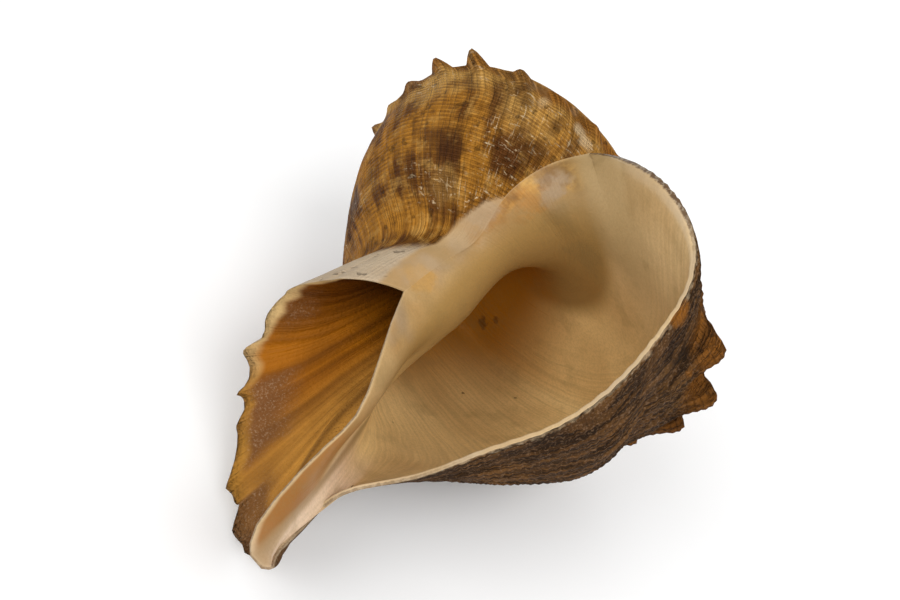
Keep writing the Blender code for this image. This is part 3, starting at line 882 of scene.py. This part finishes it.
def glazeGroup():  # the smooth inner layer: lining, callus and inner lip
    tree, given, result = newGroup(
        "glaze", "ShaderNodeTree", {"Position": "Vector", "Turn": 0.0, "Row": 0.0},
        {"Colour": "Color", "Roughness": "Float", "Height": "Float"})
    position, turn, row = given["Position"], given["Turn"], given["Row"]
    grain = use(tree, grainTree, {"Position": position})
    cloud, fine = grain["Cloud"], grain["Grain"]
    bands = use(tree, bandsTree, {"Turn": turn, "Row": row, "Spacing": 9, "Seed": 3})
    ribs = use(tree, bandsTree, {"Turn": row, "Row": turn * 0.06, "Spacing": 0.34, "Seed": 5})
    offSeam = rise(row, 0.2, 1.6) * rise(row, 15.9, 14.4)
    lines = ribs["Line"] * offSeam
    broad = noise(position, 55, 3)

    # the walls' buff and amber, paler deeper in, are partly their own colour and partly painted
    # light that brightens the cavity's inside
    walls = mixed(rise(turn, 10, 90), "buff", "amber")
    walls = mixed(bands["Band"] * offSeam * 0.2, walls, "amber")
    callus = layered(
        mixed(rise(row, 10.3, 11.6), "cream", "callus"),
        (rise(broad, 0.42, 0.62) * 0.5, "tint"),
        (rise(noise(position, 90), 0.56, 0.7) * 0.7, "lilac"),
        (rise(turn, 5, 30), "inner"))
    colour = mixed(rise(row, 9.9, 9) + rise(row, 15.2, 15.95), callus, walls)

    uneven = (noise(position, 320, 3) - 0.5) * 8
    thin = rise(row, 12.6, 13.4) * rise(row, 15.7, 15.2) * rise(turn + uneven, 9, 5)
    bare = mixed(rise(noise(position, 380, 4, 0.65), 0.36, 0.64), "thin", "ochre")
    canal = rise(row, 7.6, 8.3) * rise(row, 9.3, 9) * rise(turn, 60, 30)
    # the orange-brown beside the inner lip in the canal is painted shade where the gutter dips
    # under the inner lip
    innerEdge = rise(row, 9, 9.15) * rise(row, 9.85, 9.5) * rise(turn, -0.3, 0.8)
    colour = layered(
        colour,
        (thin * (cloud * 0.5 + 0.4), bare),
        (canal * 0.8, "pink"),
        (innerEdge * rise(turn, 30, 8) * (broad * 0.4 + 0.7), "canal"),
        (rise(row, 8.8, 9.02) * rise(row, 9.2, 9.04) * 0.7, "tip"),
        # the deep orange far inside is partly the shell's own colour and partly painted shade of
        # the cavity's depth
        (rise(turn, 92, 134), "deep"))
    colour = patched(colour, position, patchesOfGlaze,
                     lambda reach: (noise(position, 1.2 / reach, 5, 0.6) - 0.5) * reach * 2.2)

    # the corner mask lays olive as painted shade in the valley of the mouth's posterior corner
    corner = rise(row, 1.4, 0.2) + rise(row, 14.8, 15.8)
    atRim = rise(turn + rise(row, 8.3, 8.9) * 0.9, 1.6, 0.2) * rise(row, 0.2, 1.2)
    outerRim = rise(turn + (fine - 0.5) * 0.8, -0.3, -0.6)
    outerRim = outerRim * (rise(row, 2.4, 1.4) + rise(row, 5.6, 6.6) * 0.6)
    rimGrey = mixed(rise(fine, 0.45, 0.6), "stain", "rimGrey")
    colour = layered(
        colour,
        (rise(noise(position, 150, 4, 0.6), 0.5, 0.68) * 0.26, "olive"),
        (rise(noise(position, 48), 0.48, 0.66) * 0.22, "tint"),
        (lines * rise(row, 9.2, 8.4) * 0.22, "olive"),
        (rise(noise(position, 2600), 0.42, 0.62) * 0.14, "olive"),
        (corner * rise(turn, 40, 20) * 0.5, "olive"),
        (atRim * (cloud * 0.6 + 0.35), "rim"),
        (outerRim * 0.85, rimGrey))
    height = lines * 0.1 + fine * 0.25 + outerRim * fine * 0.8
    feed(result, {"Colour": colour, "Roughness": cloud * 0.14 + 0.34, "Height": height})
    return tree


bandsTree = bandsGroup()
grainTree = grainGroup()
glazeTree = glazeGroup()


def newMaterial(name):  # its tree, and what the mesh tells at each point
    material = bpy.data.materials.new(name)
    material.use_nodes = True
    tree = material.node_tree
    position = put(tree, "ShaderNodeTexCoord", {}, "Object")
    growth = put(tree, "ShaderNodeAttribute", {}, "Vector", attribute_name="growth")
    return material, tree, position, parted(growth)


def finishMaterial(material, colour, roughness, height, depth, gloss):
    tree = material.node_tree
    normal = put(tree, "ShaderNodeBump", {"Height": height, "Distance": depth, "Strength": 1})
    feed(tree.nodes["Principled BSDF"],
         {"Base Color": colour, "Roughness": roughness, "Normal": normal,
          "Specular IOR Level": gloss})
    return material


# worn and stained patches outside, and painted shadow at a knob's crevices, told in the same way
patchesOfWhorl = [
    ((-10, 22.4, 59.4), 3, "buff", 0.75),
    ((-6.1, 22.4, 58), 3.2, "umber", 0.6),
    ((-11.6, 20.2, 58.7), 2.4, "umber", 0.55),
    ((-6.8, 26, 59.3), 1.6, "chalk", 0.5),
    ((-3.9, 25.6, 58.4), 1.8, "chalk", 0.55),
    ((-1.9, 26, 57), 1.6, "chalk", 0.5),
    ((-14.4, 11.6, 51.6), 3, "umber", 0.55),
    ((-11.6, 10.7, 50), 2.6, "umber", 0.6),
    ((-9.2, 10, 48.4), 2.2, "umber", 0.45),
    ((-7.9, 8.7, 45.9), 3.4, "ochre", 0.2),
    ((34.7, 12.2, 60.7), 2.2, "spine", 0.75),
    ((35.2, 12.8, 59), 1.8, "spine", 0.6),
    ((38, 19.7, 47.1), 2, "spine", 0.7),
    # painted shadow under the edge of a knob
    ((36.4, 17, 51), 2, "creviceShade", 0.6),
    ((36.6, 13.2, 53), 1.4, "creviceShade", 0.5),
    ((35.1, 31, 28.7), 4, "umber", 0.6),
    ((34.6, 30.6, 26.2), 3, "umber", 0.6),
]


def funnelWall(position, turn, depth, cloud, stripes):  # the inside of the funnel
    dusty = maths("MAXIMUM", rise(abs(turn - 138), 26, 8),
                  rise(turn, 104, 96) * rise(depth, 0.16, 0.05))
    dust = rise(noise(position, 75, 3) + dusty * 0.5, 0.5, 0.8) * rise(depth, 0.3, 0.12)
    grains = rise(noise(position, 2600, 4, 0.8), 0.5, 0.7) * dust
    reach = noise(joined(turn * 0.07, 0, 4), detail=1) * 0.15
    edge = rise(depth - reach, 0, -0.05) * (cloud * 0.3 + 0.6)
    lamella = mixed(rise(turn, 150, 172), "lamellaGold", "lamella")
    return layered(
        mixed(rise(turn, 145, 100) * 0.85, "funnel", "funnelPale"),
        # darker towards the funnel's depth and further into the umbilicus: painted shade of the
        # funnel
        (rise(depth, 0.55, 1), "funnelDark"),
        (rise(turn, 155, 220) * 0.75, "funnelDark"),
        (stripes["Band"] * 0.6, "funnelDark"),
        (cloud * 0.3, "brown"),
        (dust * 0.85, "funnelDust"),
        (grains * 0.5, "dustGrain"),
        (edge * rise(turn, 100, 108), lamella))


def makeOutside():
    material, tree, position, (turn, row, past) = newMaterial("outside")
    bands = use(tree, bandsTree, {"Turn": turn, "Row": row, "Spacing": 7, "Seed": 1})
    grain = use(tree, grainTree, {"Position": position})
    cloud, fine = grain["Cloud"], grain["Grain"]
    glaze = use(tree, glazeTree, {"Position": position, "Turn": 0, "Row": 12})

    mottle = rise(bands["Band"] * 0.45 + cloud * 0.55, 0.15, 0.75)
    pale = rise(row, 4.6, 2.6) * rise(noise(position, 85), 0.48, 0.64) * 0.8
    youngest = rise(turn, 280, 320) * rise(row, 4, 2.8) * 0.35
    flecked = noise(position, 380, 4, 0.65)
    grooves = rise(wave(row, relief["Cords Per Row"]), 0.3, -0.9) * rise(row, 7, 6)
    uneven = noise(joined(turn * 0.15, row * 3, 2))
    bend = noise(position, 260) - 0.5
    along = growthNoise(turn * 0.22 + bend * 1.5, row * 9 + bend * 3, 7)
    across = growthNoise(turn * 0.9 + bend * 3, row * 1.6, 11)
    marks = maths("MAXIMUM", rise(along, 0.58, 0.7), rise(across, 0.6, 0.72))
    marks = marks * rise(noise(position, 75, 3), 0.46, 0.6) * rise(turn, 100, 150)
    behindLip = rise(turn, 110, 60)
    lipSide = mixed(bands["Band"] * 0.5 + cloud * 0.4, "lipBrown", "lipGrey")
    # slits mark the creases behind the lip; their dark colour below is painted shade in the creases
    slits = growthNoise(turn * 0.5, row * 0.8, 3) - 0.5
    slits = rise(abs(slits), 0.07, 0) * behindLip * rise(row, 8.6, 7.6)
    ragged = (noise(position, 900) - 0.5) * 5
    colour = layered(
        mixed(mottle, "brown", "gold"),
        (maths("MAXIMUM", pale, youngest), "ochre"),
        (rise(flecked, 0.5, 0.66) * 0.4, "ochre"),
        (rise(flecked, 0.48, 0.34) * 0.45, "umber"),
        (rise(noise(position, 130), 0.6, 0.72) * 0.6, "umber"),
        (grooves * rise(uneven, 0.35, 0.7) * 0.45, "line"),
        (bands["Line"] * 0.25, "line"),
        (marks * 0.75, "chalk"),
        (behindLip * 0.95, lipSide),
        (slits * 0.75, "creviceShade"),
        (rise(noise(position, 2200), 0.52, 0.66) * behindLip * 0.35, "fleck"),
        (rise(turn + ragged, 1.6, -0.2) * 0.6, "rim"))
    colour = patched(colour, position, patchesOfWhorl, lambda reach: (cloud - 0.5) * reach * 1.2)

    onSpine = rise(abs(row - 2.1), 0.6, 0.15) * rise(turn, 10, 16)
    band = rise(row, 7.4, 8) * rise(turn, 60, 110)
    depth = row - 9
    stripes = use(tree, bandsTree, {"Turn": turn, "Row": depth * 2, "Spacing": 15, "Seed": 9})
    inFunnel = rise(depth, -0.02, 0.01)
    wobble = (noise(position, 160) - 0.5) * 14
    glazed = rise(past + wobble - rise(row, 6, 5.2) * 5, -3, 3)
    pits = grain["Pits"] * (1 - inFunnel)
    colour = layered(
        colour,
        (onSpine * (cloud * 0.4 + 0.4), "spine"),
        # painted shade in the lines between the spines' growth scales
        (bands["Line"] * onSpine * 0.5, "creviceShade"),
        (band * (cloud * 0.2 + 0.78), "fasciole"),
        (inFunnel, funnelWall(position, turn, depth, cloud, stripes)),
        (rise(turn, 10, 3) * inFunnel, glaze["Colour"]),
        (glazed, glaze["Colour"]),
        # painted shade in the pits of old shell
        (pits * (1 - glazed) * 0.4, "creviceShade"))
    roughness = cloud * 0.15 + 0.52 + glazed * -0.15 + behindLip * 0.25
    lines = bands["Line"] * (1 - maths("MAXIMUM", inFunnel, band) * 0.8) * 0.6
    height = fine * 0.5 + lines - grooves * 0.3 - pits * 0.5 - slits * 1.6
    height = height + stripes["Band"] * inFunnel * 0.5 + fine * behindLip * 0.9
    height = height * (1 - glazed * 0.9)
    return finishMaterial(material, colour, roughness, height, depth=0.0005, gloss=0.1)


def makeLining():
    material, tree, position, (turn, row, _) = newMaterial("lining")
    glaze = use(tree, glazeTree, {"Position": position, "Turn": turn, "Row": row})
    return finishMaterial(material, glaze["Colour"], glaze["Roughness"], glaze["Height"],
                          depth=0.00025, gloss=0.2)


def placed(name, data):  # an object of the scene
    made = bpy.data.objects.new(name, data)
    bpy.context.scene.collection.objects.link(made)
    return made


outside, lining = makeOutside(), makeLining()
print("materials ready")

surface = Surface()
lip, crest, callusEdge = buildOuter(surface)
innerEdge = buildFunnel(surface, crest)
buildCavity(surface, lip, innerEdge, callusEdge)
print("surface grown:", len(surface.turns), "points")

# turns in degrees: where the lining swells, and where no glaze lies outside
coats = {"swellRise": 12.0, "swellEnd": 200.0, "glazedTurn": 340.0, "far": 60.0}
sheet = bpy.data.meshes.new("growthSheet")
sheet.from_pydata(surface.sections, [], surface.faces)
kinds = np.array(surface.kinds)
onLining = np.zeros(len(surface.turns))
for face, kind in zip(surface.faces, surface.kinds):
    if kind:
        onLining[face] = 1
turnAt, rowAt = np.array(surface.turns), np.array(surface.rows)
inner = onLining * ease(turnAt / coats["swellRise"]) * (turnAt < coats["swellEnd"])
pointValues = {"turnAt": turnAt, "rowAt": rowAt, "free": surface.free, "inner": inner}
for name, values in pointValues.items():
    stored = sheet.attributes.new(name, "FLOAT", "POINT")
    stored.data.foreach_set("value", np.array(values, float))
sheet.attributes.new("lining", "BOOLEAN", "FACE").data.foreach_set("value", kinds > 0)
corners = np.array(surface.corners)
cornerKind = np.repeat(kinds, [len(face) for face in surface.faces])
edge = callusTurn(np.clip(corners[:, 1], 3, 9)) + glazeReach(corners[:, 1])
bare = (corners[:, 1] > 9) | (corners[:, 1] < 3) | (corners[:, 0] > coats["glazedTurn"])
past = np.where(bare, -coats["far"], corners[:, 0] - edge)
growth = np.column_stack([corners, np.where(cornerKind > 0, coats["far"], past)])
sheet.attributes.new("growth", "FLOAT_VECTOR", "CORNER").data.foreach_set("vector", growth.ravel())
sheet.shade_smooth()
raw = placed("growthSheet", sheet)
modifier = raw.modifiers.new("coilShell", "NODES")
modifier.node_group = coilTree()
settings = {"Whorl Growth": growthRule["whorlGrowth"], "Shell Unit": growthRule["unit"],
            "Outside": outside, "Lining": lining, **relief}
for item in modifier.node_group.interface.items_tree:
    if item.name in settings:
        modifier[item.identifier] = settings[item.name]
graph = bpy.context.evaluated_depsgraph_get()
mesh = bpy.data.meshes.new_from_object(raw.evaluated_get(graph))
raw.modifiers.remove(modifier)
bpy.data.objects.remove(raw)
mesh.name = "whelkShell"
lie = Matrix.Translation(growthRule["moved"]) @ Euler(
    [math.radians(a) for a in growthRule["turned"]]).to_matrix().to_4x4()
mesh.transform(lie)
for name in (*pointValues, "lining"):
    mesh.attributes.remove(mesh.attributes[name])
mesh.shade_smooth()
shell = placed("whelkShell", mesh)
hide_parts("shell")
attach(shell, "root")
triangles = sum(len(p.vertices) - 2 for p in mesh.polygons)
print("shell coiled:", len(mesh.polygons), "faces,", triangles, "triangles")

# the camera looks into the mouth, rolled so that the shell leans to one side
view = {
    "target": (0.05, 0.0, -0.5),  # in shell units before the shell is laid down
    "distance": 2.6,
    "toCamera": (0.4915, -0.7059, -0.5101),
    "right": (0.7662, 0.0719, 0.6388),
    "sensor": 36,
    "lens": 66.69,
    "shift": (0.0245, 0.0196),
}
camera = placed("camera", bpy.data.cameras.new("camera"))
back = Vector(view["toCamera"]).normalized()
right = Vector(view["right"]).normalized()
up = back.cross(right)
stand = (Vector(view["target"]) + back * view["distance"]) * growthRule["unit"]
pose = Matrix([[right[i], up[i], back[i], stand[i]] for i in range(3)] + [[0, 0, 0, 1]])
camera.matrix_world = lie @ pose
camera.data.sensor_width = view["sensor"]
camera.data.lens = view["lens"]
camera.data.shift_x, camera.data.shift_y = view["shift"]
bpy.context.scene.camera = camera

# soft studio light over a pale floor
studio = {
    "floorSize": 4.0,
    "floorColour": (250, 250, 250),
    "floorRoughness": 0.9,
    "worldStrength": 0.6,
    # direction as seen by the camera, softness in degrees, strength
    "lamps": [
        ((-0.30, 0.45, 1.00), 35, 0.85),
        ((0.12, -0.05, 1.00), 30, 0.75),
        ((0.55, 0.15, 1.00), 30, 0.95),
    ],
}
floor = placed("floor", bpy.data.meshes.new("floor"))
half = studio["floorSize"] / 2
floor.data.from_pydata([(-half, -half, 0), (half, -half, 0), (half, half, 0), (-half, half, 0)],
                       [], [(0, 1, 2, 3)])
paper = bpy.data.materials.new("paper")
paper.use_nodes = True
feed(paper.node_tree.nodes["Principled BSDF"],
     {"Base Color": linear(studio["floorColour"]), "Roughness": studio["floorRoughness"]})
floor.data.materials.append(paper)

world = bpy.data.worlds.new("studio")
bpy.context.scene.world = world
world.use_nodes = True
seen = put(world.node_tree, "ShaderNodeLightPath", {}, "Is Camera Ray")
level = seen * (1 - studio["worldStrength"]) + studio["worldStrength"]
feed(world.node_tree.nodes["Background"], {"Color": (1, 1, 1, 1), "Strength": level})
for direction, softness, strength in studio["lamps"]:
    lamp = placed("softLamp", bpy.data.lights.new("softLamp", "SUN"))
    lamp.data.angle = math.radians(softness)
    lamp.data.energy = strength
    towards = camera.matrix_world.to_3x3() @ Vector(direction)
    lamp.rotation_euler = towards.to_track_quat("Z", "Y").to_euler()
bpy.context.scene.view_settings.view_transform = "Standard"
bpy.context.view_layer.update()
print("studio ready")
